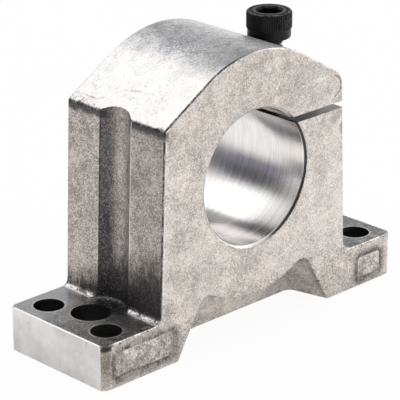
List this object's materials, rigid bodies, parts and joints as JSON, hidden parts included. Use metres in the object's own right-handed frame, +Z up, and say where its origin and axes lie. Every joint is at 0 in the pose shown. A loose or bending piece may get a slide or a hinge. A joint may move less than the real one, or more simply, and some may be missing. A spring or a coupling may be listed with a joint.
{
  "type": "shaft support block",
  "caption": "Cast aluminium block on two feet that clamps a round shaft in a split bore; a cap screw closes the saw cut beside the bore.",
  "frame": {"origin": "middle of the machined underside of the feet", "axes": "+X from foot to foot, towards the side with the saw cut; +Y along the bore; +Z up from the feet"},
  "size_m": [0.088, 0.0296, 0.0648],
  "materials": {
    "cast_aluminium": "die cast and tumbled, with milled feet ends and a bright bored hole",
    "black_steel": "black oxide, knurled head, lightly oiled"
  },
  "bodies": {
    "block": {"support_block": "cast_aluminium"},
    "screw": {"clamp_screw": "black_steel"}
  },
  "joints": [
    {"name": "clamp_screw_travel", "type": "slide", "parent": "block", "child": "screw", "axis": [0, 0, 1], "range_m": [-0.0055, 0.0055]}
  ]
}
